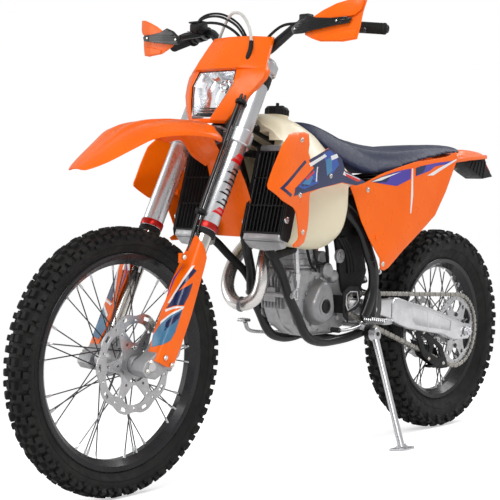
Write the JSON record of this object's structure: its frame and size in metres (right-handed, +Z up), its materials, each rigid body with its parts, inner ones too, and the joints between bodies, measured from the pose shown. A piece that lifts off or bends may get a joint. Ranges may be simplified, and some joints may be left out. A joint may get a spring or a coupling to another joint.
{
  "type": "enduro dirt bike",
  "caption": "Two-wheeled off-road motorcycle with long-travel fork, knobby tyres, lamp mask and handguards, leaning on its side stand.",
  "frame": {"origin": "on the floor, below the middle of the bike's bounding box", "axes": "+Z up, the front wheel towards -Y, the bike's own left towards +X; the bike leans to its left by 9.0 degrees"},
  "size_m": [0.8476, 2.1714, 1.3584],
  "materials": {
    "black_frame": "satin",
    "cast_silver": "cast",
    "bright_steel": "polished",
    "black_plastic": "matte",
    "cream_plastic": "satin, slightly translucent",
    "navy_cover": "vinyl cover",
    "orange_plastic": "gloss",
    "shock_steel": "satin",
    "black_rubber": "matte",
    "clear_lens": "clear over a bright reflector",
    "tyre_rubber": "matte",
    "black_rim": "satin black",
    "silver_metal": "satin"
  },
  "bodies": {
    "chassis": {"frame": "black_frame", "subframe": "black_frame", "engine_cases": "cast_silver", "cylinder": "cast_silver", "engine_covers": "cast_silver", "header_pipe": "bright_steel", "silencer": "silver_metal", "radiators": "black_plastic", "fuel_tank": "cream_plastic", "fuel_cap": "black_plastic", "seat": "navy_cover", "shroud_left": "orange_plastic", "shroud_right": "orange_plastic", "side_panel_left": "orange_plastic", "side_panel_right": "orange_plastic", "rear_fender": "orange_plastic", "tail_lamp": "black_plastic", "airbox": "black_plastic", "swingarm": "silver_metal", "pivot_bolt": "bright_steel", "shock": "shock_steel", "rear_axle": "bright_steel", "chain": "bright_steel", "chain_guide": "black_plastic", "footpegs": "bright_steel", "foot_controls": "bright_steel", "rear_caliper": "cast_silver", "stand_bracket": "black_frame"},
    "steering": {"fork_clamps": "cast_silver", "fork_outers": "silver_metal", "fork_inners": "silver_metal", "front_axle": "bright_steel", "handlebar": "black_frame", "grips": "black_rubber", "hand_controls": "black_plastic", "handguards": "orange_plastic", "headlight_mask": "orange_plastic", "headlamp": "clear_lens", "front_fender": "orange_plastic", "fork_guards": "orange_plastic", "front_caliper": "cast_silver", "brake_hose": "black_rubber"},
    "front_wheel": {"front_tyre": "tyre_rubber", "front_rim": "black_rim", "front_hub": "cast_silver", "front_disc": "bright_steel"},
    "rear_wheel": {"rear_tyre": "tyre_rubber", "rear_rim": "black_rim", "rear_hub": "cast_silver", "rear_disc": "bright_steel", "rear_sprocket": "bright_steel"},
    "side_stand": {"side_stand": "silver_metal"}
  },
  "joints": [
    {"name": "steering", "type": "hinge", "parent": "chassis", "child": "steering", "pos_m": [-0.04568, -0.37427, 0.94711], "axis": [0.14, 0.4462, 0.8839], "range_deg": [-42, 42]},
    {"name": "front_wheel_spin", "type": "hinge", "parent": "steering", "child": "front_wheel", "pos_m": [-0.14078, -0.73725, 0.34669], "axis": [0.9877, 0, -0.1564], "continuous": true},
    {"name": "rear_wheel_spin", "type": "hinge", "parent": "chassis", "child": "rear_wheel", "pos_m": [-0.14175, 0.74475, 0.34052], "axis": [0.9877, 0, -0.1564], "continuous": true},
    {"name": "side_stand_fold", "type": "hinge", "parent": "chassis", "child": "side_stand", "pos_m": [0.00572, 0.18875, 0.34474], "axis": [0.9935, 0.1117, 0.0202], "range_deg": [0, 135.1]}
  ]
}
